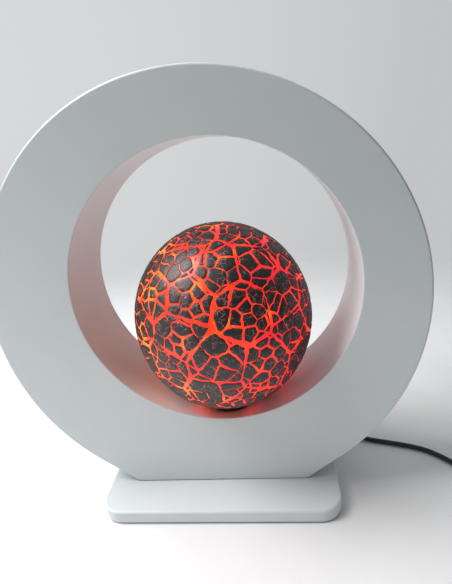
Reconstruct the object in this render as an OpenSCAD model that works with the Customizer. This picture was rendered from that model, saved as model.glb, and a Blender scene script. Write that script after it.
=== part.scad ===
/* [Ring frame] */
// Radius of the ring's outer circle
ring_r = 200; // [170:1:240]
// Depth of the ring from its front face to its back face
ring_depth = 80; // [66:1:100]
// Radius of the round hole through the ring
hole_r = 129.5; // [108:0.5:134]
// How far the hole's centre lies to the right of the outer circle's centre
hole_x = 13; // [0:1:20]
// How far the hole's centre lies above the outer circle's centre
hole_rise = 18; // [8:1:24]
// How much of the outer circle's bottom is cut off flat
foot_cut = 15; // [8:1:20]
// Width of the flat foot under the ring
foot_w = 175; // [146:1:210]
// Thickness of the moulded walls
wall = 3; // [2.4:0.1:3.6]
// Depth of the locating lip inside the back cover
lip_depth = 4; // [3:0.5:6]
// Thickness of the locating lip
lip_t = 2; // [1.5:0.1:2.5]
// Gap around the locating lip
lip_gap = 0.3; // [0.2:0.05:0.5]

/* [Base plate] */
// Width of the base plate
base_w = 234; // [220:1:280]
// Depth of the base plate
base_d = 163; // [136:1:196]
// Thickness of the base plate
base_t = 12; // [10:0.5:14.5]
// Radius of the base plate's corners
base_corner_r = 22; // [12:1:30]
// Radius of each rubber foot
pad_r = 8; // [6:0.5:10]
// Thickness of each rubber foot
pad_t = 3.5; // [2.5:0.5:5]
// How far the rubber feet stand out of the base plate
pad_proud = 1.5; // [1:0.5:2]

/* [Globe] */
// Widest radius of the globe over its coatings
globe_r = 86; // [70:1:95]
// Half of the globe's height over its coatings
globe_half_h = 91.5; // [75:0.5:102]
// How far the globe's centre lies to the right of the outer circle's centre
globe_x = 15.5; // [0:0.5:20]
// Gap between the globe's lowest point and the ring's hole
globe_gap = 0.5; // [0.3:0.1:2]
// Thickness of the globe's glass
glass_t = 2.2; // [1.6:0.1:3]
// Thickness of the red lacquer
lacquer_t = 0.3; // [0.2:0.05:0.5]
// Thickness of the black crackle coat
crackle_t = 0.8; // [0.5:0.1:1.2]
// Outer radius of the glass neck
neck_r = 20; // [17:0.5:22]
// Length of the glass neck below the globe
neck_l = 29; // [24:1:33]
// Radius of the glass bulb round the electrode
bulb_r = 14; // [11:0.5:17]
// Outer radius of the glass stem under the electrode
stem_r = 6.5; // [5:0.5:8]
// Thickness of the stem's glass
stem_t = 1.2; // [0.8:0.1:1.6]

/* [Collar] */
// How far the collar's rim stands out beyond its threaded tube
collar_rim_w = 4.5; // [3:0.5:9]
// Height of the collar's rim above the hole's lowest point
collar_rise = 4.2; // [3.5:0.1:4.5]
// Thickness of the collar's threaded tube
collar_tube_t = 3.4; // [2.8:0.1:4.4]
// Gap between the glass neck and the collar
neck_gap = 0.6; // [0.4:0.1:1]
// Height of the locking ring under the collar
lock_h = 5; // [4:0.5:7]

/* [Driver board] */
// Length of the driver board
board_w = 80; // [70:1:84]
// Depth of the driver board
board_d = 54; // [48:1:60]
// Thickness of the driver board
board_t = 1.6; // [1.2:0.1:2]
// How far the board's middle lies to the left
board_left = 36; // [32:1:40]
// Height of the board above the inside floor of the ring
board_lift = 7.5; // [7:0.5:9]
// Radius of the transformer's winding
winding_r = 11; // [9:0.5:12]
// Height of the transformer's winding
winding_h = 13; // [11:0.5:15]

/* [Back cover fittings] */
// Height of the cord's strain relief above the table
gland_z = 28; // [26:1:34]
// Length of the strain relief outside the cover
gland_l = 20; // [20:1:30]
// Width of the rocker switch's rim
switch_w = 15; // [13:0.5:18]
// Height of the rocker switch's rim
switch_h = 21; // [19:0.5:24]
// How far the switch lies to the left of the middle
switch_left = 50; // [45:1:60]
// Height of the switch above the table
switch_z = 58; // [54:1:64]
// Angle that the rocker turns through
rocker_swing = 24; // [16:1:28]

/* [Cord] */
// Diameter of the power cord
cord_d = 5.1; // [4.6:0.1:5.6]
// Radius of the coil at the middle of its turns
coil_r = 29; // [26:0.5:33]
// Number of turns that lie beside each other in the coil
coil_across = 4; // [2:1:5]
// Number of turns that lie on each other in the coil
coil_layers = 2; // [2:1:4]

/* [Hidden] */
$fn = 96;
fit = 0.05;

front_y = -ring_depth / 2;
back_y = ring_depth / 2;
cover_y = back_y - wall;
base_top = pad_proud + base_t;
floor_z = base_top + wall;
ring_z = base_top + ring_r - foot_cut;
chord = ring_r - foot_cut;
foot_reach = sqrt(pow(foot_w / 2, 2) + pow(chord, 2));
flank_sunk = 0.3;
flank = atan2(foot_w / 2, chord) + acos(min(1, (ring_r - flank_sunk) / foot_reach));
hole_z = ring_z + hole_rise;
hole_low = hole_z - hole_r;

globe_z = hole_low + globe_gap + globe_half_h;
lacquer_r = globe_r - crackle_t;
lacquer_h = globe_half_h - crackle_t;
glass_r = lacquer_r - lacquer_t;
glass_h = lacquer_h - lacquer_t;
neck_end = hole_low - neck_l;
shoulder_r = neck_r + 0.4;
cap_floor = 3.5;
cap_t = 2.4;
electrode_r = bulb_r - stem_t - 0.2;

collar_seat = hole_low - 3;
collar_top = hole_low + collar_rise;
collar_boss_z = hole_low - 7;
collar_bore_r = neck_r + neck_gap;
collar_tube_r = collar_bore_r + collar_tube_t;
collar_r = collar_tube_r + collar_rim_w;
gasket_seat = hole_low - 1;
gasket_r = collar_r - 3;

screw_r = 1.5;
screw_head_r = 2.9;
screw_head_h = 1.8;
screw_l = 12;
boss_r = 5.5;
boss_sunk = 1.5;
boss_ring_r = ring_r - wall - boss_r + boss_sunk;
boss_angles = [-20, 20, 55, 90, 125, 160, 200];
foot_boss_x = foot_w / 2 - 3.5;
foot_boss_z = floor_z + boss_r - boss_sunk;
cover_bosses = concat(
    [for (a = boss_angles) [boss_ring_r * cos(a), ring_z + boss_ring_r * sin(a)]],
    [for (s = [-1, 1]) [s * foot_boss_x, foot_boss_z]]
);

base_screw_r = 2;
base_head_r = 3.9;
base_head_h = 3;
base_recess = 5;
base_boss_h = 6;
base_screw_x = foot_w / 2 - 27.5;
base_screw_y = ring_depth / 2 - 15;
pad_x = base_w / 2 - base_corner_r;
pad_y = base_d / 2 - base_corner_r;

board_z = floor_z + board_lift;
board_top = board_z + board_t;
board_hole_x = board_w / 2 - 4;
board_hole_y = board_d / 2 - 5;
board_boss_r = 4;
flyback_x = -board_left + board_w / 2 - 20;
yoke_h = 5;
leg_r = 4.4;
core_w = 9;
winding_z = board_top + yoke_h;

rocker_r = 7.5;
rocker_w = switch_w - 5.4;
rocker_gap = 0.4;
pivot_r = 1.5;
switch_rim = 1.6;
switch_deep = 14;
pivot_y = back_y + switch_rim - 1.2;

coil_half_w = coil_across * cord_d / 2;
coil_h = coil_layers * cord_d;
lay_r = coil_r + coil_half_w - cord_d / 2;
plate_edge = base_w / 2;
coil_x = plate_edge + 173.5;
coil_y = -14;
coil_start = -135.5;
relief_y = back_y + gland_l;
cord_drop = gland_z - base_top - cord_d / 2;
// The cord from the strain relief across the plate: [across, away, share of its drop]
plate_steps = [
    [0, 0, 0], [0, 4, 0], [0.8, 9, 0.05], [3.4, 15, 0.2], [8.5, 19.6, 0.4], [16, 22.4, 0.644],
    [25, 22.4, 0.836], [35, 20, 0.954], [47, 16, 0.995], [60, 11.5, 0.995], [75, 6.2, 0.995],
    [90, 1, 0.995], [103, -4, 0.98], [114, -8.4, 0.955]
];
// The cord off the plate's edge and over the table: [across, away, share of the plate's height]
table_steps = [
    [6, 47.8, 0.937], [15, 43.8, 0.641], [24, 39.8, 0.33], [34, 35.8, 0.107], [45, 32, 0.011],
    [56, 28.6, 0], [67, 25.2, 0], [78, 21.6, 0], [89, 17.4, 0], [100, 11.6, 0], [110, 3.2, 0],
    [119, -6.8, 0], [128, -17.5, 0], [137.5, -28.6, 0]
];
cord_path = concat(
    [for (p = plate_steps)
        [p[0] * plate_edge / 117, relief_y + p[1], gland_z - cord_drop * p[2]]],
    [for (i = [0 : len(table_steps) - 1])
        let (p = table_steps[i], late = (i + 1) / len(table_steps))
        [plate_edge + p[0], p[1] + (relief_y - 60) * (1 - late), cord_d / 2 + base_top * p[2]]],
    [[coil_x + lay_r * cos(coil_start), coil_y + lay_r * sin(coil_start), cord_d / 2]]
);
tie_angle = 75;
tie_t = 0.8;
tie_w = 9;
plug_x = coil_x + lay_r + 1.9;
plug_y = coil_y + 34;
plug_w = 35;
plug_l = 35;
plug_t = 13.7;
plug_z = plug_t / 2;
plug_relief = 22;
// The cord from the coil's top turn to the plug: [across, away, share of its drop]
tail_steps = [
    [0, 0, 0], [0.1, 6, 0.05], [0.4, 13, 0.25], [0.9, 20, 0.65], [1.6, 26, 0.95],
    [1.9, 30, 1], [1.9, 34, 1]
];
tail_top = coil_h - cord_d / 2;
tail_path = [for (p = tail_steps)
    [coil_x + lay_r + p[0], coil_y + p[1], tail_top + (plug_z - tail_top) * p[2]]];
pin_r = 2;
pin_l = 19;
pin_gap = 18.6;
tube_sides = 10;

// A flat outline in x and z, given a thickness along y
module slab(y0, y1) {
    translate([0, y1, 0]) rotate([90, 0, 0]) linear_extrude(y1 - y0) children();
}

// The ring's outer outline with its flat foot and straight flanks, drawn smaller by inset
module ring_outline(inset = 0) {
    r = ring_r - inset;
    low = chord - inset;
    side = r - flank_sunk;
    half = (side - low * cos(flank)) / sin(flank);
    translate([0, ring_z]) difference() {
        union() {
            circle(r);
            polygon([
                [side * sin(flank), -side * cos(flank)], [half, -low],
                [-half, -low], [-side * sin(flank), -side * cos(flank)]
            ]);
        }
        translate([-ring_r * 2, -low - ring_r]) square([ring_r * 4, ring_r]);
    }
}

module hole_outline(grow = 0) {
    translate([hole_x, hole_z]) circle(hole_r + grow);
}

// A cylinder lying along y
module rod_y(x, z, r, y0, y1) {
    translate([x, y1, z]) rotate([90, 0, 0]) cylinder(r = r, h = y1 - y0);
}

// A screw with a cross recess, its head's top at the origin and its shank pointing down
module screw(r, head_r, head_h, length) {
    difference() {
        union() {
            translate([0, 0, -head_h]) cylinder(r = head_r, h = head_h);
            translate([0, 0, -length]) cylinder(r = r, h = length - head_h / 2);
        }
        for (turn = [0, 90]) rotate([0, 0, turn])
            translate([-head_r * 0.6, -head_r * 0.13, -head_h * 0.6])
                cube([head_r * 1.2, head_r * 0.26, head_h]);
    }
}

// Points along an upright half ellipse, from the radius where it opens below to its top
function dome(a, b, open_r, steps = 40) =
    let (start = -acos(open_r / a))
    [for (i = [0 : steps])
        let (t = start + (90 - start) * i / steps)
        i == steps ? [0, b] : [a * cos(t), b * sin(t)]];

function backwards(list) = [for (i = [len(list) - 1 : -1 : 0]) list[i]];

// A thin coat over the globe that stops at the neck
module coat(a, b, t) {
    outer = dome(a, b, shoulder_r);
    inner = dome(a - t, b - t, shoulder_r);
    translate([globe_x, 0, globe_z]) rotate_extrude() polygon(concat(outer, backwards(inner)));
}

function unit(v) = v / norm(v);

// Direction of a path at its point i
function heading(path, i) =
    unit(path[min(i + 1, len(path) - 1)] - path[max(i - 1, 0)]);

// One ring of points round a path, level with a direction that the path never takes
function tube_ring(path, i, r, sides, level) =
    let (d = heading(path, i), across = unit(cross(d, level)), up = cross(across, d))
    [for (k = [0 : sides - 1])
        path[i] + r * (cos(360 * k / sides) * across + sin(360 * k / sides) * up)];

// A round tube swept along a path
module tube(path, r, sides, level = [0, 0, 1]) {
    n = len(path);
    points = [for (i = [0 : n - 1]) each tube_ring(path, i, r, sides, level)];
    ends = [[for (k = [0 : sides - 1]) k], [for (k = [sides - 1 : -1 : 0]) (n - 1) * sides + k]];
    skin = [for (i = [0 : n - 2], k = [0 : sides - 1])
        let (a = i * sides + k, b = i * sides + (k + 1) % sides)
        each [[a, a + sides, b], [b, a + sides, b + sides]]];
    polyhedron(points = points, faces = concat(ends, skin), convexity = 6);
}

// The moulded front of the ring: face, outer wall, inner wall, floor and screw bosses
module ring_shell() {
    color("whitesmoke") difference() {
        union() {
            difference() {
                slab(front_y, cover_y) ring_outline();
                slab(front_y + wall, back_y) difference() {
                    ring_outline(wall);
                    hole_outline(wall);
                }
            }
            for (p = cover_bosses) rod_y(p[0], p[1], boss_r, front_y + wall / 2, cover_y);
            intersection() {
                slab(front_y + wall / 2, cover_y) difference() {
                    ring_outline(wall / 2);
                    hole_outline(wall / 2);
                }
                union() {
                    for (x = [-1, 1], y = [-1, 1])
                        translate([x * base_screw_x, y * base_screw_y, base_top])
                            cylinder(r = base_screw_r + 3, h = wall + base_boss_h);
                    for (x = [-1, 1], y = [-1, 1])
                        translate([x * board_hole_x - board_left, y * board_hole_y, base_top])
                            cylinder(r = board_boss_r, h = wall + board_lift);
                    translate([globe_x, 0, collar_boss_z])
                        cylinder(r = collar_r + 4, h = wall + 8);
                }
            }
        }
        slab(front_y - 1, back_y) hole_outline();
        for (p = cover_bosses)
            rod_y(p[0], p[1], screw_r + fit, cover_y - screw_l, cover_y + 1);
        for (x = [-1, 1], y = [-1, 1])
            translate([x * base_screw_x, y * base_screw_y, base_top - 1])
                cylinder(r = base_screw_r + fit, h = wall + base_boss_h);
        for (x = [-1, 1], y = [-1, 1])
            translate([x * board_hole_x - board_left, y * board_hole_y, base_top + wall])
                cylinder(r = screw_r + fit, h = board_lift + 1);
        translate([globe_x, 0, collar_boss_z - 1]) cylinder(r = collar_tube_r + 0.2, h = 20);
        translate([globe_x, 0, collar_seat]) cylinder(r = collar_r + 0.2, h = 20);
    }
}

// The flat back of the ring, with a lip that drops into the front moulding
module back_cover() {
    color("whitesmoke") difference() {
        union() {
            slab(cover_y, back_y) ring_outline();
            slab(cover_y - lip_depth, cover_y) difference() {
                ring_outline(wall + lip_gap);
                ring_outline(wall + lip_gap + lip_t);
            }
            slab(cover_y - lip_depth, cover_y) difference() {
                hole_outline(wall + lip_gap + lip_t);
                hole_outline(wall + lip_gap);
            }
        }
        slab(front_y, back_y + 1) hole_outline();
        for (p = cover_bosses) {
            rod_y(p[0], p[1], boss_r + lip_gap, cover_y - lip_depth - 1, cover_y);
            rod_y(p[0], p[1], screw_r + 0.2, cover_y - 1, back_y + 1);
            rod_y(p[0], p[1], screw_head_r + 0.2, back_y - screw_head_h, back_y + 1);
        }
        rod_y(0, gland_z, 4.8, cover_y - 1, back_y + 1);
        translate([-switch_left, back_y, switch_z])
            cube([switch_w - 1.8, wall * 3, switch_h - 1.8], center = true);
        for (i = [0 : 6]) slab(cover_y - 1, back_y + 1) {
            translate([38 + i * 7, switch_z - 11]) square([2.6, 22]);
            for (end = [-11, 11]) translate([39.3 + i * 7, switch_z + end]) circle(1.3);
        }
    }
}

module cover_screws() {
    color("silver") for (p = cover_bosses)
        translate([p[0], back_y, p[1]]) rotate([-90, 0, 0])
            screw(screw_r, screw_head_r, screw_head_h, screw_l);
}

// The plate that the ring stands on
module base_plate() {
    color("whitesmoke") difference() {
        translate([0, 0, pad_proud]) linear_extrude(base_t) union() {
            square([base_w - 2 * base_corner_r, base_d], center = true);
            square([base_w, base_d - 2 * base_corner_r], center = true);
            for (x = [-1, 1], y = [-1, 1]) translate([x * pad_x, y * pad_y])
                circle(base_corner_r);
        }
        for (x = [-1, 1], y = [-1, 1]) {
            translate([x * base_screw_x, y * base_screw_y, 0])
                cylinder(r = base_screw_r + 0.3, h = base_top + 1);
            translate([x * base_screw_x, y * base_screw_y, 0])
                cylinder(r = base_head_r + 0.4, h = pad_proud + base_recess);
            translate([x * pad_x, y * pad_y, 0]) cylinder(r = pad_r + 0.1, h = pad_t);
        }
    }
}

module base_screws() {
    color("silver") for (x = [-1, 1], y = [-1, 1])
        translate([x * base_screw_x, y * base_screw_y, pad_proud + base_recess - base_head_h])
            rotate([180, 0, 0])
                screw(base_screw_r, base_head_r, base_head_h,
                      base_t - base_recess + base_head_h + wall + base_boss_h - 2);
}

module rubber_feet() {
    color("dimgray") for (x = [-1, 1], y = [-1, 1])
        translate([x * pad_x, y * pad_y, 0]) cylinder(r = pad_r, h = pad_t);
}

// The black collar that the globe's neck is cemented into
module neck_collar() {
    color("black") translate([globe_x, 0, 0]) rotate_extrude() polygon([
        [collar_bore_r, collar_boss_z - lock_h - 1], [collar_tube_r, collar_boss_z - lock_h - 1],
        [collar_tube_r, collar_seat], [collar_r, collar_seat], [collar_r, collar_top],
        [collar_r - 2.3, collar_top], [gasket_r + 0.1, gasket_seat], [collar_bore_r, gasket_seat]
    ]);
}

// The soft ring between the collar and the globe
module collar_gasket() {
    rise = globe_z - 0.15;
    color("dimgray") translate([globe_x, 0, 0]) rotate_extrude() polygon([
        [collar_bore_r + 0.1, gasket_seat], [gasket_r - 0.1, gasket_seat],
        [gasket_r - 0.1, rise - globe_half_h * sqrt(1 - pow((gasket_r - 0.1) / globe_r, 2))],
        [collar_bore_r + 0.1, rise - globe_half_h * sqrt(1 - pow((collar_bore_r + 0.1) / globe_r, 2))]
    ]);
}

// The ring nut that clamps the collar from inside the frame
module lock_ring() {
    color("black") translate([globe_x, 0, collar_boss_z - lock_h]) difference() {
        cylinder(r = collar_tube_r + 7, h = lock_h);
        translate([0, 0, -1]) cylinder(r = collar_tube_r + fit, h = lock_h + 2);
        for (a = [0 : 45 : 315]) rotate([0, 0, a])
            translate([collar_tube_r + 7, 0, -1]) cylinder(r = 2, h = lock_h + 2);
    }
}

// The glass globe, drawn down into an open neck
module globe_glass() {
    outer = dome(glass_r, glass_h, shoulder_r);
    inner = dome(glass_r - glass_t, glass_h - glass_t, neck_r - glass_t);
    color("lightcyan", 0.4) translate([globe_x, 0, globe_z]) rotate_extrude() polygon(concat(
        [[neck_r, neck_end - globe_z], [neck_r, outer[0][1]]], outer, backwards(inner),
        [[neck_r - glass_t, neck_end - globe_z]]
    ));
}

module red_lacquer() {
    color("orangered") coat(lacquer_r, lacquer_h, lacquer_t);
}

module crackle_coat() {
    color("black") coat(globe_r, globe_half_h, crackle_t);
}

// The inner glass: a disc sealed into the neck, a tube up the middle and a bulb on its end
module electrode_stem() {
    neck_in = neck_r - glass_t;
    join = asin((stem_r - 0.5) / bulb_r);
    inner_join = asin((stem_r - stem_t - 0.5) / (bulb_r - stem_t));
    color("lightcyan", 0.4) translate([globe_x, 0, 0]) rotate_extrude() polygon(concat(
        [[stem_r - stem_t, neck_end], [neck_in, neck_end], [neck_in, neck_end + 2],
         [stem_r, neck_end + 2]],
        [for (i = [0 : 24]) let (t = join + (180 - join) * i / 24)
            [i == 24 ? 0 : bulb_r * sin(t), globe_z - bulb_r * cos(t)]],
        [for (i = [24 : -1 : 0]) let (t = inner_join + (180 - inner_join) * i / 24)
            [i == 24 ? 0 : (bulb_r - stem_t) * sin(t), globe_z - (bulb_r - stem_t) * cos(t)]]
    ));
}

// The conducting ball inside the bulb
module electrode_ball() {
    color("gray") translate([globe_x, 0, globe_z]) sphere(r = electrode_r);
}

// The insulating cap on the end of the neck
module neck_cap() {
    color("beige") translate([globe_x, 0, neck_end - cap_floor]) difference() {
        cylinder(r = neck_r + cap_t, h = cap_floor + 7);
        translate([0, 0, cap_floor]) cylinder(r = neck_r + fit, h = 10);
        translate([0, 0, -1]) cylinder(r = 2, h = 10);
    }
}

// The high-voltage lead, from the transformer up the stem to the electrode
module hv_lead() {
    start = flyback_x + winding_r;
    level = winding_z + winding_h / 2;
    bend = 7;
    turn = [for (a = [0 : 15 : 90])
        [globe_x - bend + bend * sin(a), 0, level + bend - bend * cos(a)]];
    top = globe_z - electrode_r;
    color("crimson")
        tube(concat([[start, 0, level]], turn, [[globe_x, 0, top]]), 1.4, tube_sides, [0, 1, 0]);
}

module driver_board() {
    color("seagreen") difference() {
        translate([-board_left - board_w / 2, -board_d / 2, board_z])
            cube([board_w, board_d, board_t]);
        for (x = [-1, 1], y = [-1, 1])
            translate([x * board_hole_x - board_left, y * board_hole_y, board_z - 1])
                cylinder(r = screw_r + 0.2, h = board_t + 2);
    }
}

module board_screws() {
    color("silver") for (x = [-1, 1], y = [-1, 1])
        translate([x * board_hole_x - board_left, y * board_hole_y, board_top + screw_head_h])
            screw(screw_r, screw_head_r, screw_head_h, board_lift + screw_head_h);
}

// The ferrite core: a round leg inside the winding and a square one outside
module transformer_core() {
    back_leg = winding_r + 1 + core_w / 2;
    color("dimgray") translate([flyback_x, 0, board_top]) {
        for (z = [0, yoke_h + winding_h])
            translate([-back_leg - core_w / 2, -core_w / 2, z])
                cube([back_leg + core_w / 2 + leg_r, core_w, yoke_h]);
        cylinder(r = leg_r, h = winding_h + 2 * yoke_h);
        translate([-back_leg - core_w / 2, -core_w / 2, 0])
            cube([core_w, core_w, winding_h + 2 * yoke_h]);
    }
}

module transformer_winding() {
    color("black") translate([flyback_x, 0, winding_z]) difference() {
        cylinder(r = winding_r, h = winding_h);
        translate([0, 0, -1]) cylinder(r = leg_r + 0.1, h = winding_h + 2);
    }
}

// The finned aluminium heatsink on the board
module heatsink() {
    color("silver") translate([-board_left - board_w / 2 + 8, board_d / 2 - 15, board_top]) {
        cube([26, 2.5, 17]);
        for (i = [0 : 4]) translate([i * 5.9, 2, 0]) cube([2.4, 8, 17]);
    }
}

module power_transistor() {
    color("black") translate([-board_left - board_w / 2 + 16, board_d / 2 - 19.6, board_top + 1]) {
        translate([0, 0, 2]) cube([10, 3.3, 9]);
        difference() {
            translate([0, 3.3, 2]) cube([10, 1.3, 15]);
            translate([5, 6, 14]) rotate([90, 0, 0]) cylinder(r = 1.8, h = 6);
        }
        for (i = [0 : 2]) translate([1.8 + i * 2.54, 1.6, -1]) cube([0.8, 0.6, 3.5]);
    }
}

module capacitors() {
    left = -board_left - board_w / 2;
    color("midnightblue") {
        translate([left + 20, -board_d / 2 + 12, board_top]) cylinder(r = 6.5, h = 20);
        translate([left + 33, -board_d / 2 + 9, board_top]) cylinder(r = 4, h = 12);
        translate([left + 43, -board_d / 2 + 9, board_top]) cylinder(r = 4, h = 12);
    }
}

module input_terminal() {
    color("limegreen") translate([flyback_x + 3, board_d / 2 - 22 + 11, board_top]) difference() {
        cube([8, 10, 10]);
        for (y = [2.6, 7.4]) {
            translate([4, y, 6]) cylinder(r = 1.7, h = 5);
            translate([4, y, 3]) rotate([0, 90, 0]) cylinder(r = 1.3, h = 5);
        }
    }
}

// One of the cord's two cores, from the strain relief to the terminal
module core_lead(side, landing) {
    tx = flyback_x + 11.2;
    ty = board_d / 2 - 11 + landing;
    tz = board_top + 3;
    tube([[side * 2, cover_y - 4.2, gland_z], [side * 2, cover_y - 8, gland_z],
          [side * 1.6 + 0.4, ty + 2.5, tz], [tx + 3, ty, tz], [tx, ty, tz]], 0.8, 8);
}

module live_lead() {
    color("saddlebrown") core_lead(1, 2.6);
}

module neutral_lead() {
    color("royalblue") core_lead(-1, 7.4);
}

// One of the two wires from the switch down to the board
module switch_wire(side) {
    x = side * 3.5 - switch_left;
    y = back_y - switch_deep;
    tube([[x, y - 1, switch_z - 4], [x, y - 1.7, switch_z - 8], [x + 0.5, y - 1.9, switch_z - 14],
          [x + 1, y - 1.9, board_top + 6], [x + 1, y - 1.9, board_top]], 0.8, 8, [1, 0, 0]);
}

module switch_lead_in() {
    color("saddlebrown") switch_wire(-1);
}

module switch_lead_out() {
    color("saddlebrown") switch_wire(1);
}

// The switch's rim and box, with bores for the rocker's pivots
module switch_body() {
    inner_w = rocker_w + 2 * rocker_gap;
    inner_h = 2 * (rocker_r + rocker_gap);
    box_w = switch_w - 2;
    box_h = switch_h - 2;
    color("black") translate([-switch_left, 0, switch_z]) difference() {
        union() {
            translate([-switch_w / 2, back_y, -switch_h / 2])
                cube([switch_w, switch_rim, switch_h]);
            translate([-box_w / 2, back_y - switch_deep, -box_h / 2])
                cube([box_w, switch_deep + 0.5, box_h]);
        }
        translate([-inner_w / 2, pivot_y - 5, -inner_h / 2]) cube([inner_w, 12, inner_h]);
        translate([-inner_w / 2 - 1.2, pivot_y, 0]) rotate([0, 90, 0])
            cylinder(r = pivot_r + fit, h = inner_w + 2.4);
    }
}

// The rocker, pressed at its lower end, with a shallow V across its face
module switch_rocker() {
    face = 1.2;
    end_rise = face + rocker_r * tan(rocker_swing / 2);
    color("dimgray") translate([-switch_left, pivot_y, switch_z])
        rotate([-rocker_swing / 2, 0, 0]) {
            intersection() {
                translate([-rocker_w / 2, 0, 0]) rotate([90, 0, 90])
                    linear_extrude(rocker_w) polygon([
                        [-2.2, -3], [-2.2, 3], [0, rocker_r + 1], [end_rise, rocker_r + 1],
                        [face, 0], [end_rise, -rocker_r - 1], [0, -rocker_r - 1]
                    ]);
                translate([-rocker_w / 2, 0, 0]) rotate([0, 90, 0])
                    cylinder(r = rocker_r, h = rocker_w);
            }
            translate([-rocker_w / 2 - rocker_gap - 1, 0, 0]) rotate([0, 90, 0])
                cylinder(r = pivot_r, h = rocker_w + 2 * rocker_gap + 2);
        }
}

// The strain relief: a clip inside, a flange outside and a tapered, grooved sleeve
module cord_gland() {
    step = (gland_l - 2) / 6;
    tip_r = cord_d / 2 + 0.9;
    grooved = [for (i = [0 : 4])
        let (y = 2 + i * step, r = 5.2 - (5.2 - tip_r) * i / 5)
        each [[r, y + step * 0.62], [r - 0.7, y + step * 0.66], [r - 0.7, y + step * 0.96],
              [r - 0.3, y + step]]];
    color("black") translate([0, back_y, gland_z]) rotate([-90, 0, 0]) rotate_extrude()
        polygon(concat(
            [[0, -wall - 3], [5.8, -wall - 3], [5.8, -wall - 0.1], [4.7, -wall - 0.1], [4.7, 0],
             [7.5, 0], [7.5, 2], [5.2, 2]],
            grooved,
            [[tip_r, gland_l], [0, gland_l]]
        ));
}

module power_cord() {
    color("black") tube(cord_path, cord_d / 2, tube_sides);
}

module cord_coil() {
    round_r = cord_d / 2;
    color("black") translate([coil_x, coil_y, 0]) rotate_extrude() {
        translate([coil_r - coil_half_w, round_r]) square([2 * coil_half_w, coil_h - 2 * round_r]);
        translate([coil_r - coil_half_w + round_r, 0]) square([2 * (coil_half_w - round_r), coil_h]);
        for (x = [-1, 1], z = [round_r, coil_h - round_r])
            translate([coil_r + x * (coil_half_w - round_r), z]) circle(round_r);
    }
}

module cord_tail() {
    color("black") tube(tail_path, cord_d / 2, tube_sides);
}

// The strap round the coil
module cord_tie() {
    color("dimgray") translate([coil_x, coil_y, 0]) rotate([0, 0, tie_angle])
        translate([coil_r, tie_w / 2, 0]) rotate([90, 0, 0]) linear_extrude(tie_w)
            difference() {
                translate([-coil_half_w - tie_t, 0])
                    square([2 * (coil_half_w + tie_t), coil_h + tie_t]);
                translate([-coil_half_w, tie_t]) square([2 * coil_half_w, coil_h - tie_t]);
            }
}

// A flat two-pin mains plug lying on its side, its cord coming in at the back
module plug_body() {
    back = plug_y + plug_relief;
    nose = 9;
    color("black") {
        translate([plug_x, plug_y, plug_z]) rotate([-90, 0, 0])
            cylinder(r1 = cord_d / 2 + 0.8, r2 = 5.4, h = plug_relief);
        translate([plug_x, back, plug_z - plug_t / 2]) linear_extrude(plug_t) polygon([
            [-6.5, 0], [6.5, 0], [plug_w / 2, 12], [plug_w / 2, plug_l - nose],
            [plug_w / 2 - 4.5, plug_l], [4.5 - plug_w / 2, plug_l],
            [-plug_w / 2, plug_l - nose], [-plug_w / 2, 12]
        ]);
    }
}

module plug_pins() {
    front = plug_y + plug_relief + plug_l;
    color("silver") for (s = [-1, 1])
        translate([plug_x + s * pin_gap / 2, front, plug_z]) rotate([-90, 0, 0]) {
            cylinder(r = pin_r, h = pin_l - 1);
            translate([0, 0, pin_l - 1]) cylinder(r1 = pin_r, r2 = pin_r - 1, h = 1);
        }
}

ring_shell();
back_cover();
cover_screws();
base_plate();
base_screws();
rubber_feet();
neck_collar();
collar_gasket();
lock_ring();
globe_glass();
red_lacquer();
crackle_coat();
electrode_stem();
electrode_ball();
neck_cap();
hv_lead();
driver_board();
board_screws();
transformer_core();
transformer_winding();
heatsink();
power_transistor();
capacitors();
input_terminal();
live_lead();
neutral_lead();
switch_lead_in();
switch_lead_out();
switch_body();
switch_rocker();
cord_gland();
power_cord();
cord_coil();
cord_tail();
cord_tie();
plug_body();
plug_pins();
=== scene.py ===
import math

import bmesh
import bpy
import numpy as np
from mathutils import Matrix, Vector, noise


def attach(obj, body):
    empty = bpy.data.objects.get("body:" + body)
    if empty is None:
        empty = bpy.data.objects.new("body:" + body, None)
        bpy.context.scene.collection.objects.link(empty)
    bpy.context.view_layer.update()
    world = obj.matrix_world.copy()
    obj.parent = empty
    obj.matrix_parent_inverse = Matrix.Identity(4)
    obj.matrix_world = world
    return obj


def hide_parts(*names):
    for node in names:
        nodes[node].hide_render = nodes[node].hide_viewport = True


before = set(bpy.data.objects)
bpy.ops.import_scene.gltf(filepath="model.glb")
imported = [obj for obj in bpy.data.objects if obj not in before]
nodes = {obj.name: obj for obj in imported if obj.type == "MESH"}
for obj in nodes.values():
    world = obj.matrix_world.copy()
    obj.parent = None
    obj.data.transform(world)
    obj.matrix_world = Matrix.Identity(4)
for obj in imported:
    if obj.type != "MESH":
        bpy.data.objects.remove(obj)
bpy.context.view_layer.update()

MM = 0.001
scene = bpy.context.scene

# ---------------------------------------------------------------- view, floor and light
# A camera a little right of the middle and above the globe, over a plain pale table. The
# light is one large soft window high on the left, a weak one on the right and a pale room.
camera_data = bpy.data.cameras.new("camera")
camera_data.lens = 26.78
camera_data.sensor_width = 36
camera = bpy.data.objects.new("camera", camera_data)
camera.matrix_world = (
    Matrix.Translation((0.07216, -0.39684, 0.33462))
    @ Matrix.Rotation(0.1295, 4, "Z")
    @ Matrix.Rotation(-0.3189, 4, "X")
    @ Matrix.Rotation(0.1103, 4, "Y")
    @ Matrix.Rotation(math.radians(90), 4, "X")
)
scene.collection.objects.link(camera)
scene.camera = camera
scene.view_settings.view_transform = "Standard"


def new_material(name):
    """A node material with a Principled BSDF, and the two most used of its parts."""
    material = bpy.data.materials.new(name)
    material.use_nodes = True
    tree = material.node_tree
    return material, tree, tree.nodes["Principled BSDF"]


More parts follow.
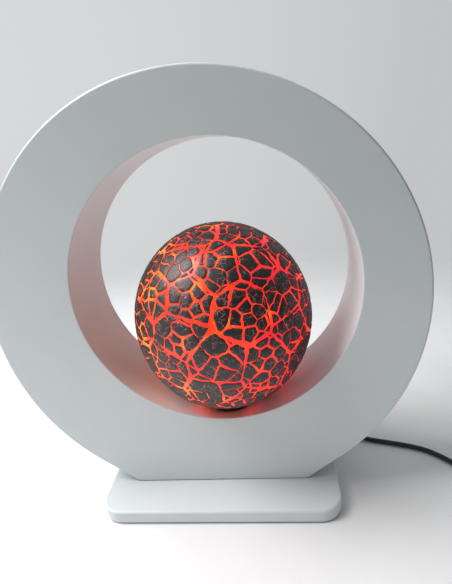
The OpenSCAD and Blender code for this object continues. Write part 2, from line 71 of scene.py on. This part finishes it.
def node(tree, kind, **settings):
    """One shader node. A setting names a property, or a socket when it isn't one."""
    made = tree.nodes.new("ShaderNode" + kind)
    for key, value in settings.items():
        if hasattr(made, key):
            setattr(made, key, value)
        else:
            made.inputs[key.replace("_", " ")].default_value = value
    return made


def wire(tree, *links):
    for start, end in links:
        tree.links.new(start, end)


def ramp(tree, *stops):
    """A colour ramp from (place, colour) stops."""
    made = tree.nodes.new("ShaderNodeValToRGB")
    elements = made.color_ramp.elements
    while len(elements) < len(stops):
        elements.new(0.5)
    for element, (place, colour) in zip(elements, stops):
        element.position = place
        element.color = colour if len(colour) == 4 else (*colour, 1)
    return made


def mesh_piece(name, bm, *materials, smooth=30):
    """A finished bmesh as an object at the origin, smooth but for edges over an angle."""
    mesh = bpy.data.meshes.new(name)
    bm.to_mesh(mesh)
    bm.free()
    mesh.shade_smooth()
    mesh.set_sharp_from_angle(angle=math.radians(smooth))
    for material in materials:
        mesh.materials.append(material)
    piece = bpy.data.objects.new(name, mesh)
    scene.collection.objects.link(piece)
    return piece


table_paint, tree, shader = new_material("table")
coords = node(tree, "TexCoord")
mottle = node(tree, "TexNoise", Scale=9.0, Detail=6.0)
tone = ramp(tree, (0.3, (0.84, 0.845, 0.85)), (0.7, (0.90, 0.905, 0.91)))
spread = node(tree, "VectorMath", operation="LENGTH")
fade = node(tree, "MapRange", interpolation_type="SMOOTHSTEP", From_Min=0.42, From_Max=1.1,
            To_Min=1.0, To_Max=0.0)
wire(tree, (coords.outputs["Object"], mottle.inputs["Vector"]),
     (mottle.outputs["Fac"], tone.inputs["Fac"]),
     (tone.outputs["Color"], shader.inputs["Base Color"]),
     (coords.outputs["Object"], spread.inputs[0]), (spread.outputs["Value"], fade.inputs["Value"]),
     (fade.outputs["Result"], shader.inputs["Alpha"]))
shader.inputs["Roughness"].default_value = 0.6
bm = bmesh.new()
bmesh.ops.create_grid(bm, x_segments=1, y_segments=1, size=1.5)
bmesh.ops.translate(bm, verts=bm.verts, vec=(0, 0, -0.3 * MM))
table = mesh_piece("table", bm, table_paint)


def softbox(name, place, target, size, watts, colour):
    data = bpy.data.lights.new(name, "AREA")
    data.shape = "DISK"
    data.size = size
    data.energy = watts
    data.color = colour
    lamp = bpy.data.objects.new(name, data)
    lamp.location = place
    lamp.rotation_euler = (Vector(target) - Vector(place)).to_track_quat("-Z", "Y").to_euler()
    scene.collection.objects.link(lamp)


softbox("window", (-0.78, -0.09, 1.20), (-0.1, -0.10, 0.0), 0.8, 21, (1.0, 1.0, 1.0))
softbox("door", (-0.5, -0.60, 0.06), (-0.1, -0.04, 0.05), 0.5, 0.42, (0.97, 0.99, 1.0))
world = bpy.data.worlds.new("room")
world.use_nodes = True
scene.world = world
room = world.node_tree
room_light = room.nodes["Background"]
facing = node(room, "TexCoord")
across = node(room, "VectorMath", operation="DOT_PRODUCT")
across.inputs[1].default_value = (-0.21, 0.27, 0.06)
level = node(room, "Math", operation="ADD", use_clamp=True)
level.inputs[1].default_value = 0.35
seen = node(room, "LightPath")
least = node(room, "Math", operation="MULTIPLY_ADD")
least.inputs[1].default_value = 0.45
least.inputs[2].default_value = 0.10
floor_level = node(room, "Math", operation="MAXIMUM")
wire(room, (facing.outputs["Generated"], across.inputs[0]), (across.outputs["Value"], level.inputs[0]),
     (level.outputs["Value"], floor_level.inputs[0]), (seen.outputs["Is Camera Ray"], least.inputs[0]),
     (least.outputs["Value"], floor_level.inputs[1]),
     (floor_level.outputs["Value"], room_light.inputs["Strength"]))
room_light.inputs["Color"].default_value = (0.98, 1.0, 1.01, 1)

# ---------------------------------------------------------------- power cord
# A round two-core mains cord in black PVC, 5.1 mm thick. It runs from the strain relief over
# the base plate and along the table. The spare length is wound into a flat coil of two layers.
cord_d = 5.1 * MM
plate_top = 13.5
cord_points = [
    (0, 60, 28), (0, 64, 28), (0.8, 69, 27.4), (3.4, 75, 25.6), (8.5, 79.6, 23.2),
    (16, 82.4, 20.3), (25, 82.4, 18), (35, 80, 16.6), (47, 76, 16.1), (60, 71.5, 16.1),
    (75, 66.2, 16.1), (90, 61, 16.1), (103, 56, 16.3), (114, 51.6, 16.6), (123, 47.8, 15.2),
    (132, 43.8, 11.2), (141, 39.8, 7), (151, 35.8, 4), (162, 32, 2.7), (173, 28.6, 2.55),
    (184, 25.2, 2.55), (195, 21.6, 2.55), (206, 17.4, 2.55), (217, 11.6, 2.55),
    (227, 3.2, 2.55), (236, -6.8, 2.55), (245, -17.5, 2.55), (254.5, -28.6, 2.55),
]
coil_x, coil_y = 290.5, -14
coil_r = 29
coil_pitch = 5.1
coil_rows = [36.65, 31.55, 26.45, 21.35, 21.35, 26.45, 31.55, 36.65]
coil_start = -135.5
tie_angle = 75
tie_t = 0.8
tie_w = 9


def eased(t):
    t = min(1, max(0, t))
    return t * t * (3 - 2 * t)


def coil_point(turned):
    """The cord's middle after some degrees of winding: each turn steps across near its end."""
    row = int(turned // 360)
    step = eased((turned - row * 360 - 250) / 110) if row < 7 else 0
    radius = coil_rows[row] + (coil_rows[min(row + 1, 7)] - coil_rows[row]) * step
    layer = 0 if row < 3 else step if row == 3 else 1
    angle = coil_start + turned
    off_tie = abs((angle - tie_angle + 180) % 360 - 180) * math.radians(1) * radius
    lift = (tie_t + 0.1) * eased((22 - off_tie) / 14)
    return (coil_x + radius * math.cos(math.radians(angle)),
            coil_y + radius * math.sin(math.radians(angle)),
            2.55 + coil_pitch * layer + lift)


coil_turned = 7 * 360 - coil_start
coil_steps = 7 * 24 + 9
coil_points = [coil_point(coil_turned * i / coil_steps) for i in range(coil_steps + 1)]
tail_points = [
    (327.25, -8, 7.61), (327.55, -1, 7.45), (328.05, 6, 7.13), (328.75, 12, 6.89),
    (329.05, 16, 6.85), (329.05, 20, 6.85),
]
route = [Vector(p) * MM for p in [*cord_points, *coil_points, *tail_points]]

cord_pvc, tree, shader = new_material("cord_pvc")
coords = node(tree, "TexCoord")
scuff = node(tree, "TexNoise", Scale=160.0, Detail=5.0)
haze = node(tree, "TexNoise", Scale=18.0, Detail=3.0)
tone = ramp(tree, (0.3, (0.008, 0.008, 0.009)), (0.75, (0.020, 0.020, 0.022)))
gloss = ramp(tree, (0.35, (0.32, 0.32, 0.32)), (0.7, (0.5, 0.5, 0.5)))
grain = node(tree, "Bump", Strength=0.15, Distance=0.0003)
wire(tree, (coords.outputs["Object"], scuff.inputs["Vector"]),
     (coords.outputs["Object"], haze.inputs["Vector"]),
     (haze.outputs["Fac"], tone.inputs["Fac"]), (tone.outputs["Color"], shader.inputs["Base Color"]),
     (scuff.outputs["Fac"], gloss.inputs["Fac"]), (gloss.outputs["Color"], shader.inputs["Roughness"]),
     (scuff.outputs["Fac"], grain.inputs["Height"]), (grain.outputs["Normal"], shader.inputs["Normal"]))

curve = bpy.data.curves.new("power_lead", "CURVE")
curve.dimensions = "3D"
curve.bevel_depth = cord_d / 2
curve.bevel_resolution = 4
curve.resolution_u = 4
spline = curve.splines.new("BEZIER")
spline.bezier_points.add(len(route) - 1)
for point, place in zip(spline.bezier_points, route):
    point.co = place
    point.handle_left_type = point.handle_right_type = "AUTO"
curve.materials.append(cord_pvc)
power_lead = bpy.data.objects.new("power_lead", curve)
scene.collection.objects.link(power_lead)
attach(power_lead, "lamp")
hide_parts("power_cord", "cord_coil", "cord_tail")

def softened(of, edges, lift=0.0):
    """A copy of a CAD node's shape, its flat faces whole, its chosen edges rounded."""
    bm = bmesh.new()
    bm.from_mesh(nodes[of].data)
    bmesh.ops.remove_doubles(bm, verts=bm.verts, dist=1e-6)
    bmesh.ops.dissolve_limit(bm, angle_limit=math.radians(0.4), verts=bm.verts, edges=bm.edges)
    for radius, segments, chosen in edges:
        sharp = [e for e in bm.edges if e.is_manifold
                 and e.calc_face_angle(0) > math.radians(35)
                 and all(chosen(v.co / MM) for v in e.verts)]
        bmesh.ops.bevel(bm, geom=sharp, offset=radius * MM, offset_type="OFFSET",
                        affect="EDGES", segments=segments, profile=0.5, material=-1,
                        clamp_overlap=True)
    return bm


def flat_faces(piece):
    """Large flat faces keep their own shading beside rounded edges."""
    even = piece.modifiers.new("even", "WEIGHTED_NORMAL")
    even.mode = "FACE_AREA"
    even.keep_sharp = True
    return piece


def surface_group():
    """Fine grain and slow haze: what keeps a moulded or worked surface from one flat tone."""
    tree = bpy.data.node_groups.new("worked_surface", "ShaderNodeTree")
    for name, kind, low in (("Light", "NodeSocketColor", None), ("Dark", "NodeSocketColor", None),
                            ("Haze Scale", "NodeSocketFloat", 12), ("Grain Scale", "NodeSocketFloat", 900),
                            ("Smooth", "NodeSocketFloat", 0.3), ("Rough", "NodeSocketFloat", 0.5),
                            ("Depth", "NodeSocketFloat", 0.1)):
        socket = tree.interface.new_socket(name, in_out="INPUT", socket_type=kind)
        if low is not None:
            socket.default_value = low
    for name, kind in (("Color", "NodeSocketColor"), ("Roughness", "NodeSocketFloat"),
                       ("Normal", "NodeSocketVector")):
        tree.interface.new_socket(name, in_out="OUTPUT", socket_type=kind)
    given = tree.nodes.new("NodeGroupInput")
    result = tree.nodes.new("NodeGroupOutput")
    coords = node(tree, "TexCoord")
    haze = node(tree, "TexNoise", Detail=4.0)
    grain = node(tree, "TexNoise", Detail=3.0)
    spread = node(tree, "MapRange", From_Min=0.32, From_Max=0.68)
    blend = node(tree, "Mix", data_type="RGBA")
    gloss = node(tree, "MapRange", From_Min=0.3, From_Max=0.7)
    bump = node(tree, "Bump", Distance=0.0004)
    wire(tree, (coords.outputs["Object"], haze.inputs["Vector"]),
         (coords.outputs["Object"], grain.inputs["Vector"]),
         (given.outputs["Haze Scale"], haze.inputs["Scale"]),
         (given.outputs["Grain Scale"], grain.inputs["Scale"]),
         (haze.outputs["Fac"], spread.inputs["Value"]),
         (spread.outputs["Result"], blend.inputs["Factor"]),
         (given.outputs["Dark"], blend.inputs[6]), (given.outputs["Light"], blend.inputs[7]),
         (blend.outputs[2], result.inputs["Color"]),
         (grain.outputs["Fac"], gloss.inputs["Value"]),
         (given.outputs["Smooth"], gloss.inputs["To Min"]),
         (given.outputs["Rough"], gloss.inputs["To Max"]),
         (gloss.outputs["Result"], result.inputs["Roughness"]),
         (given.outputs["Depth"], bump.inputs["Strength"]),
         (grain.outputs["Fac"], bump.inputs["Height"]),
         (bump.outputs["Normal"], result.inputs["Normal"]))
    return tree


worked_surface = surface_group()


def finish(name, light, dark, haze=12, grain=900, smooth=0.3, rough=0.5, depth=0.1, **set_once):
    """A material with the worked surface in it; set_once are the shader's own sockets."""
    material, tree, shader = new_material(name)
    group = tree.nodes.new("ShaderNodeGroup")
    group.node_tree = worked_surface
    for socket, value in (("Light", (*light, 1)), ("Dark", (*dark, 1)), ("Haze Scale", haze),
                          ("Grain Scale", grain), ("Smooth", smooth), ("Rough", rough),
                          ("Depth", depth)):
        group.inputs[socket].default_value = value
    wire(tree, (group.outputs["Color"], shader.inputs["Base Color"]),
         (group.outputs["Roughness"], shader.inputs["Roughness"]),
         (group.outputs["Normal"], shader.inputs["Normal"]))
    for socket, value in set_once.items():
        shader.inputs[socket.replace("_", " ")].default_value = value
    return material


def wear(material, *names):
    """CAD nodes whose shape is right take this material."""
    for name in names:
        slots = nodes[name].data.materials
        slots.clear()
        slots.append(material)


def stands_for(piece, body, slot, *names):
    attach(piece, body)
    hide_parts(*names)
    return piece


moulded_black = finish("moulded_black", (0.022, 0.022, 0.024), (0.012, 0.012, 0.013),
                       haze=30, grain=1400, smooth=0.34, rough=0.5, depth=0.12)

# ---------------------------------------------------------------- strain relief, tie, plug
# The strain relief is soft black PVC with bend grooves, held by a clip inside the back cover.
# The tie is a grey strap. The plug is flat black PVC moulded round two brass pins.
gland_bm = softened("cord_gland", [(0.25, 2, lambda p: p.y > 40.5)])
cord_gland = stands_for(mesh_piece("strain_relief", gland_bm, moulded_black, smooth=40),
                        "lamp", "cord_black", "cord_gland")

plug_x, plug_y, plug_z = 329.05, 20, 6.85
plug_bm = softened("plug_body", [(1.8, 4, lambda p: p.y > 41.9 and abs(p.x - plug_x) > 5.5)])
cord_plug = stands_for(mesh_piece("flat_plug", plug_bm, moulded_black),
                       "lamp", "cord_black", "plug_body")

tie_cloth = finish("tie_cloth", (0.09, 0.09, 0.095), (0.05, 0.05, 0.055),
                   haze=400, grain=2600, smooth=0.7, rough=0.9, depth=0.6)
tie_bm = softened("cord_tie", [(0.25, 2, lambda p: True)])
bmesh.ops.translate(tie_bm, verts=[v for v in tie_bm.verts if v.co.z > 8 * MM],
                    vec=(0, 0, 0.9 * MM))
cord_strap = stands_for(mesh_piece("cord_strap", tie_bm, tie_cloth), "lamp", "tie_strap", "cord_tie")

pin_brass = finish("pin_brass", (0.72, 0.70, 0.66), (0.60, 0.58, 0.54),
                   haze=150, grain=2200, smooth=0.18, rough=0.36, depth=0.05, Metallic=1.0)
wear(pin_brass, "plug_pins")

# ---------------------------------------------------------------- ring frame
# The front of the ring and its flat back cover are thick white mouldings with satin paint,
# their rims slightly rounded. The cover drops in behind and is held by nine screws.
ring_front, ring_seam, ring_back = -40, 37, 40
hole_x, hole_z, hole_r = 13, 216.5, 129.5


def on_hole(p):
    return abs(math.hypot(p.x - hole_x, p.z - hole_z) - hole_r) < 1.5


white_paint, tree, shader = new_material("white_paint")
coords = node(tree, "TexCoord")
drift = node(tree, "TexNoise", Scale=5.0, Detail=3.0)
tone = ramp(tree, (0.3, (0.685, 0.735, 0.745)), (0.7, (0.745, 0.79, 0.80)))
orange_peel = node(tree, "TexNoise", Scale=420.0, Detail=2.0)
smears = node(tree, "TexNoise", Scale=14.0, Detail=6.0, Distortion=0.8)
gloss = ramp(tree, (0.35, (0.34, 0.34, 0.34)), (0.75, (0.46, 0.46, 0.46)))
skin = node(tree, "Bump", Strength=0.10, Distance=0.0005)
wire(tree, (coords.outputs["Object"], drift.inputs["Vector"]),
     (coords.outputs["Object"], orange_peel.inputs["Vector"]),
     (coords.outputs["Object"], smears.inputs["Vector"]),
     (drift.outputs["Fac"], tone.inputs["Fac"]), (tone.outputs["Color"], shader.inputs["Base Color"]),
     (smears.outputs["Fac"], gloss.inputs["Fac"]), (gloss.outputs["Color"], shader.inputs["Roughness"]),
     (orange_peel.outputs["Fac"], skin.inputs["Height"]), (skin.outputs["Normal"], shader.inputs["Normal"]))

shell_bm = softened("ring_shell", [
    (2.4, 5, lambda p: p.y < ring_front + 0.1 and not on_hole(p)),
    (1.0, 4, lambda p: p.y < ring_front + 0.1 and on_hole(p)),
    (0.4, 2, lambda p: abs(p.y - ring_seam) < 0.1 and not on_hole(p)
     and math.hypot(p.x, p.z - 198.5) > 184.9),
])
ring_moulding = stands_for(flat_faces(mesh_piece("ring_moulding", shell_bm, white_paint)),
                           "lamp", "white_shell", "ring_shell")
cover_bm = softened("back_cover", [
    (1.6, 4, lambda p: p.y > ring_back - 0.1 and not on_hole(p)
     and (math.hypot(p.x, p.z - 198.5) > 199.5 or p.z < 13.6
          or (p.z < 45 and abs(p.x) > 88))),
    (1.0, 3, lambda p: p.y > ring_back - 0.1 and on_hole(p)),
])
ring_cover = stands_for(flat_faces(mesh_piece("ring_cover", cover_bm, white_paint)),
                        "lamp", "white_shell", "back_cover")

# ---------------------------------------------------------------- base plate and its feet
# A flat white plate with rounded corners and a softened top edge. Four screws from below hold
# the ring on it, and it stands on four glued rubber pads.
base_bottom, base_top = 1.5, 13.5
plate_bm = softened("base_plate", [
    (2.2, 5, lambda p: p.z > base_top - 0.1 and (abs(p.x) > 94.9 or abs(p.y) > 59.4)),
    (0.8, 2, lambda p: p.z < base_bottom + 0.1 and (abs(p.x) > 116.9 or abs(p.y) > 81.4
     or math.hypot(abs(p.x) - 95, abs(p.y) - 59.5) > 21)),
])
base_piece = stands_for(flat_faces(mesh_piece("base_moulding", plate_bm, white_paint)),
                        "lamp", "white_base", "base_plate")
pad_rubber = finish("pad_rubber", (0.035, 0.035, 0.036), (0.02, 0.02, 0.021),
                    haze=80, grain=1800, smooth=0.7, rough=0.9, depth=0.3)
wear(pad_rubber, "rubber_feet", "collar_gasket")
screw_steel = finish("screw_steel", (0.62, 0.62, 0.63), (0.48, 0.48, 0.50),
                     haze=220, grain=2500, smooth=0.2, rough=0.42, depth=0.1, Metallic=1.0)
wear(screw_steel, "base_screws", "cover_screws", "board_screws")

# ---------------------------------------------------------------- collar
# A black moulded collar holds the globe's neck. A ring nut clamps it from inside the frame,
# and a soft gasket takes the globe's weight.
collar_bm = softened("neck_collar", [(0.5, 3, lambda p: p.z > 84.1)])
collar_piece = stands_for(mesh_piece("seat_collar", collar_bm, moulded_black, smooth=40),
                          "lamp", "black_plastic", "neck_collar")
wear(moulded_black, "lock_ring")

# ---------------------------------------------------------------- globe
# A glass globe, lacquered translucent red and coated black. The black coat shrank as it dried
# and split into raised flakes, and the discharge inside glows through the red between them.
globe_middle = Vector((15.5, 0, 179))
globe_half = Vector((86, 86, 91.5))
coat_t = 0.8
neck_open_z = 90.8


def spread_places(draw, tries, rooms, middles=(), reach=()):
    """Places over the globe that keep their own room from each other."""
    middles, reach = list(middles), list(reach)
    for _ in range(tries):
        way = Vector(draw.normal(size=3)).normalized()
        place = Vector(w * h for w, h in zip(way, globe_half))
        room = rooms(draw)
        if all((place - q).length > room + r for q, r in zip(middles, reach)):
            middles.append(place)
            reach.append(room)
    return middles, reach


def flake_seeds():
    """Flake middles: a few that stayed whole and wide, and many small ones between them."""
    draw = np.random.default_rng(11)
    whole, reach = spread_places(draw, 60, lambda d: d.uniform(8, 17))
    middles, _ = spread_places(draw, 9000, lambda d: d.choice((3.7, 4.6, 6.0), p=(0.35, 0.4, 0.25)),
                               whole, reach)
    return np.array(middles)


def plate_seeds():
    """Middles of the large plates that the widest cracks run between."""
    middles, _ = spread_places(np.random.default_rng(5), 1500, lambda d: d.uniform(14, 19))
    return np.array(middles)


def seam_gap(points, seeds):
    """How far each point is from the seam between its two nearest seeds."""
    gap = np.empty(len(points))
    for start in range(0, len(points), 4000):
        part = points[start:start + 4000]
        away = np.linalg.norm(part[:, None] - seeds[None], axis=2)
        two = np.argpartition(away, 1, axis=1)[:, :2]
        a, b = np.take_along_axis(away, two, 1).T
        apart = np.linalg.norm(seeds[two[:, 0]] - seeds[two[:, 1]], axis=1)
        gap[start:start + 4000] = np.abs(a * a - b * b) / (2 * apart)
    return gap


def wobble(points, size, depth):
    """Noise vectors at points, so that cracks run jagged."""
    return np.array([noise.noise_vector(Vector(p) / size) for p in points]) * depth


def crack_field(points):
    """How far each point lies inside a flake, in mm; below nought it is in a crack."""
    bent = points + wobble(points, 9.0, 1.3) + wobble(points, 3.2, 0.7)
    width = np.array([noise.noise(Vector(p) / 17.0) for p in points])
    field = seam_gap(bent, flake_seeds()) - np.maximum(0.38, 0.80 + 1.1 * width)
    field = np.minimum(field, seam_gap(bent, plate_seeds()) - np.maximum(0.5, 1.3 + 1.6 * width))
    return field


def flake_shells():
    """The coat's flakes as closed pieces: a fine ball cut along the cracks, then thickened."""
    bm = bmesh.new()
    bmesh.ops.create_icosphere(bm, subdivisions=6, radius=1)
    base = (globe_half - Vector((coat_t - 0.02,) * 3)) * MM
    bmesh.ops.scale(bm, verts=bm.verts, vec=base)
    depth_in = bm.verts.layers.float.new("depth_in")

    def measure():
        field = crack_field(np.array([v.co for v in bm.verts]) / MM)
        for v, value in zip(bm.verts, field):
            v[depth_in] = value

    measure()
    for near in (1.7, 0.55):
        close = [e for e in bm.edges if min(abs(v[depth_in]) for v in e.verts) < near]
        bmesh.ops.subdivide_edges(bm, edges=close, cuts=1)
        bmesh.ops.triangulate(bm, faces=bm.faces)
        for v in bm.verts:
            v.co /= Vector(v.co[i] / base[i] for i in range(3)).length
        measure()
    crossed = {}
    for e in bm.edges:
        a, b = (v[depth_in] for v in e.verts)
        if a * b < 0:
            crossed[e] = min(0.93, max(0.07, a / (a - b)))
    bmesh.ops.subdivide_edges(bm, edges=list(crossed), cuts=1, edge_percents=crossed)
    bmesh.ops.triangulate(bm, faces=bm.faces)
    bare = [f for f in bm.faces if sum(v[depth_in] for v in f.verts) < 0
            or f.calc_center_median().z < (neck_open_z - globe_middle.z) * MM]
    bmesh.ops.delete(bm, geom=bare, context="FACES")
    bmesh.ops.reverse_faces(bm, faces=bm.faces)
    top = bmesh.ops.extrude_face_region(bm, geom=bm.faces, use_keep_orig=True,
                                        use_normal_flip=True)
    for v in top["geom"]:
        if isinstance(v, bmesh.types.BMVert):
            rise = 0.42 + (coat_t - 0.02 - 0.42) * eased(v[depth_in] / 1.3)
            v.co *= 1 + rise * MM / v.co.length
    bmesh.ops.translate(bm, verts=bm.verts, vec=globe_middle * MM)
    return bm


flake_bm = flake_shells()

crackle_paint, tree, shader = new_material("crackle_paint")
coords = node(tree, "TexCoord")
crazing = node(tree, "TexVoronoi", feature="DISTANCE_TO_EDGE", Scale=230.0)
stir = node(tree, "TexNoise", Scale=120.0, Detail=3.0)
stirred = node(tree, "VectorMath", operation="MULTIPLY_ADD")
stirred.inputs[1].default_value = (0.006, 0.006, 0.006)
line = node(tree, "MapRange", From_Min=0.0, From_Max=0.045, To_Min=1.0, To_Max=0.0)
patches = node(tree, "TexNoise", Scale=130.0, Detail=2.0)
where = node(tree, "MapRange", From_Min=0.46, From_Max=0.56)
shown_line = node(tree, "Math", operation="MULTIPLY")
soot = node(tree, "TexNoise", Scale=35.0, Detail=5.0)
tone = ramp(tree, (0.3, (0.004, 0.003, 0.004)), (0.7, (0.012, 0.007, 0.009)))
ash = node(tree, "Mix", data_type="RGBA")
ash.inputs[7].default_value = (0.70, 0.20, 0.14, 1)
gloss = node(tree, "MapRange", To_Min=0.42, To_Max=0.60)
relief = node(tree, "Bump", Strength=0.5, Distance=0.0004, invert=True)
wire(tree, (coords.outputs["Object"], stir.inputs["Vector"]),
     (stir.outputs["Color"], stirred.inputs[0]), (coords.outputs["Object"], stirred.inputs[2]),
     (stirred.outputs["Vector"], crazing.inputs["Vector"]),
     (coords.outputs["Object"], patches.inputs["Vector"]), (coords.outputs["Object"], soot.inputs["Vector"]),
     (crazing.outputs["Distance"], line.inputs["Value"]), (patches.outputs["Fac"], where.inputs["Value"]),
     (line.outputs["Result"], shown_line.inputs[0]), (where.outputs["Result"], shown_line.inputs[1]),
     (soot.outputs["Fac"], tone.inputs["Fac"]), (tone.outputs["Color"], ash.inputs[6]),
     (shown_line.outputs["Value"], ash.inputs["Factor"]), (ash.outputs[2], shader.inputs["Base Color"]),
     (soot.outputs["Fac"], gloss.inputs["Value"]), (gloss.outputs["Result"], shader.inputs["Roughness"]),
     (shown_line.outputs["Value"], relief.inputs["Height"]), (relief.outputs["Normal"], shader.inputs["Normal"]))

shader.inputs["Specular IOR Level"].default_value = 0.9
for name, across, side in (("crackle_flakes_front_left", -1, -1), ("crackle_flakes_front_right", 1, -1),
                           ("crackle_flakes_back_left", -1, 1), ("crackle_flakes_back_right", 1, 1)):
    half = flake_bm.copy()
    seen = set()
    far = []
    for f in half.faces:
        if f in seen:
            continue
        island, queue = [], [f]
        seen.add(f)
        while queue:
            g = queue.pop()
            island.append(g)
            for e in g.edges:
                for h in e.link_faces:
                    if h not in seen:
                        seen.add(h)
                        queue.append(h)
        middle = sum((g.calc_center_median() for g in island), Vector()) / len(island)
        if (middle.y > 0) != (side > 0) or (middle.x > globe_middle.x * MM) != (across > 0):
            far += island
    bmesh.ops.delete(half, geom=far, context="FACES")
    stands_for(mesh_piece(name, half, crackle_paint, smooth=40), "lamp", "crackle_paint",
               "crackle_coat")
flake_bm.free()

glow_lacquer, tree, shader = new_material("glow_lacquer")
coords = node(tree, "TexCoord")
place = node(tree, "SeparateXYZ")
flow = node(tree, "TexNoise", Scale=32.0, Detail=3.0)
spots = node(tree, "TexNoise", Scale=90.0, Detail=2.0)
# painted light: the glow is made brighter and more orange towards the left, the side the window lights, and
# redder towards the right
painted_left_light = node(tree, "MapRange", From_Min=-0.07, From_Max=0.10, To_Min=0.75, To_Max=0.15)
mixed = node(tree, "Math", operation="MULTIPLY_ADD")
mixed.inputs[1].default_value = 1.3
mixed_2 = node(tree, "Math", operation="MULTIPLY_ADD")
mixed_2.inputs[1].default_value = 0.8
mixed_3 = node(tree, "Math", operation="SUBTRACT", use_clamp=True)
mixed_3.inputs[1].default_value = 0.93
glow = ramp(tree, (0.0, (0.20, 0.002, 0.010)), (0.35, (0.34, 0.006, 0.006)), (0.65, (0.45, 0.020, 0.005)),
            (1.0, (0.52, 0.11, 0.012)))
wire(tree, (coords.outputs["Object"], place.inputs["Vector"]),
     (coords.outputs["Object"], flow.inputs["Vector"]), (coords.outputs["Object"], spots.inputs["Vector"]),
     (place.outputs["X"], painted_left_light.inputs["Value"]), (flow.outputs["Fac"], mixed.inputs[0]),
     (painted_left_light.outputs["Result"], mixed.inputs[2]), (spots.outputs["Fac"], mixed_2.inputs[0]),
     (mixed.outputs["Value"], mixed_2.inputs[2]), (mixed_2.outputs["Value"], mixed_3.inputs[0]),
     (mixed_3.outputs["Value"], glow.inputs["Fac"]), (glow.outputs["Color"], shader.inputs["Emission Color"]),
     (glow.outputs["Color"], shader.inputs["Base Color"]))
shader.inputs["Emission Strength"].default_value = 3.2
shader.inputs["Roughness"].default_value = 0.3
lacquer_bm = bmesh.new()
bmesh.ops.create_icosphere(lacquer_bm, subdivisions=5, radius=1)
bmesh.ops.scale(lacquer_bm, verts=lacquer_bm.verts, vec=(globe_half - Vector((coat_t,) * 3)) * MM)
bmesh.ops.translate(lacquer_bm, verts=lacquer_bm.verts, vec=globe_middle * MM)
bmesh.ops.bisect_plane(lacquer_bm, geom=[*lacquer_bm.verts, *lacquer_bm.edges, *lacquer_bm.faces],
                       plane_co=(0, 0, neck_open_z * MM), plane_no=(0, 0, -1), clear_outer=True)
lacquer = mesh_piece("red_glow_coat", lacquer_bm, glow_lacquer)
thick = lacquer.modifiers.new("coat", "SOLIDIFY")
thick.thickness = 0.3 * MM
thick.offset = -1
stands_for(lacquer, "lamp", "red_glow", "red_lacquer")

# ---------------------------------------------------------------- inside the globe
# Clear soda glass, with an inner stem and bulb that carry the electrode up to the middle.
clear_glass = finish("clear_glass", (0.96, 0.98, 0.98), (0.93, 0.96, 0.96), haze=20, grain=300,
                     smooth=0.02, rough=0.06, depth=0.02, Transmission_Weight=1.0, IOR=1.5)
wear(clear_glass, "globe_glass", "electrode_stem")
graphite = finish("graphite", (0.10, 0.10, 0.11), (0.04, 0.04, 0.045), haze=200, grain=1500,
                  smooth=0.4, rough=0.65, depth=0.4, Metallic=0.6)
wear(graphite, "electrode_ball")
cap_ceramic = finish("cap_ceramic", (0.72, 0.66, 0.52), (0.62, 0.56, 0.43), haze=60, grain=1200,
                     smooth=0.45, rough=0.65, depth=0.15)
wear(cap_ceramic, "neck_cap")

# ---------------------------------------------------------------- driver
# A printed board with the high-voltage transformer, a finned heatsink with its transistor,
# three electrolytic capacitors and a screw terminal, wired to the cord and the switch.
silicone_red = finish("silicone_red", (0.50, 0.02, 0.02), (0.36, 0.012, 0.012), haze=90,
                      grain=1500, smooth=0.4, rough=0.55, depth=0.1)
wear(silicone_red, "hv_lead")
board_green = finish("board_green", (0.02, 0.16, 0.06), (0.012, 0.09, 0.035), haze=260,
                     grain=2200, smooth=0.28, rough=0.45, depth=0.25)
wear(board_green, "driver_board")
ferrite = finish("ferrite", (0.06, 0.058, 0.06), (0.03, 0.03, 0.03), haze=240, grain=2600,
                 smooth=0.5, rough=0.75, depth=0.35)
wear(ferrite, "transformer_core")
wear(moulded_black, "transformer_winding", "power_transistor")
aluminium = finish("aluminium", (0.70, 0.71, 0.72), (0.58, 0.59, 0.60), haze=180, grain=2400,
                   smooth=0.25, rough=0.45, depth=0.1, Metallic=1.0)
wear(aluminium, "heatsink")
sleeve_blue = finish("sleeve_blue", (0.02, 0.03, 0.12), (0.012, 0.018, 0.08), haze=140,
                     grain=1500, smooth=0.25, rough=0.4, depth=0.08)
wear(sleeve_blue, "capacitors")
terminal_green = finish("terminal_green", (0.08, 0.40, 0.10), (0.05, 0.30, 0.07), haze=120,
                        grain=1500, smooth=0.35, rough=0.5, depth=0.1)
wear(terminal_green, "input_terminal")
core_brown = finish("core_brown", (0.20, 0.09, 0.03), (0.15, 0.06, 0.02), haze=200, grain=1800,
                    smooth=0.4, rough=0.55, depth=0.1)
wear(core_brown, "live_lead", "switch_lead_in", "switch_lead_out")
core_blue = finish("core_blue", (0.03, 0.12, 0.50), (0.02, 0.08, 0.38), haze=200, grain=1800,
                   smooth=0.4, rough=0.55, depth=0.1)
wear(core_blue, "neutral_lead")

# ---------------------------------------------------------------- power switch
# A snap-in rocker switch in black nylon on the back cover. The rocker turns on two pivots.
switch_bm = softened("switch_body", [(0.5, 3, lambda p: p.y > 41.5 and (
    abs(p.x + 50) > 7.4 or abs(p.z - 58) > 10.4))])
switch_case = stands_for(mesh_piece("switch_case", switch_bm, moulded_black), "lamp",
                         "black_plastic", "switch_body")
rocker_black = finish("rocker_black", (0.018, 0.018, 0.02), (0.010, 0.010, 0.011), haze=120,
                      grain=2000, smooth=0.16, rough=0.3, depth=0.05)
rocker_bm = softened("switch_rocker", [(0.3, 2, lambda p: p.y > 40.6)])
rocker = stands_for(mesh_piece("rocker_cap", rocker_bm, rocker_black), "rocker",
                    "black_plastic", "switch_rocker")
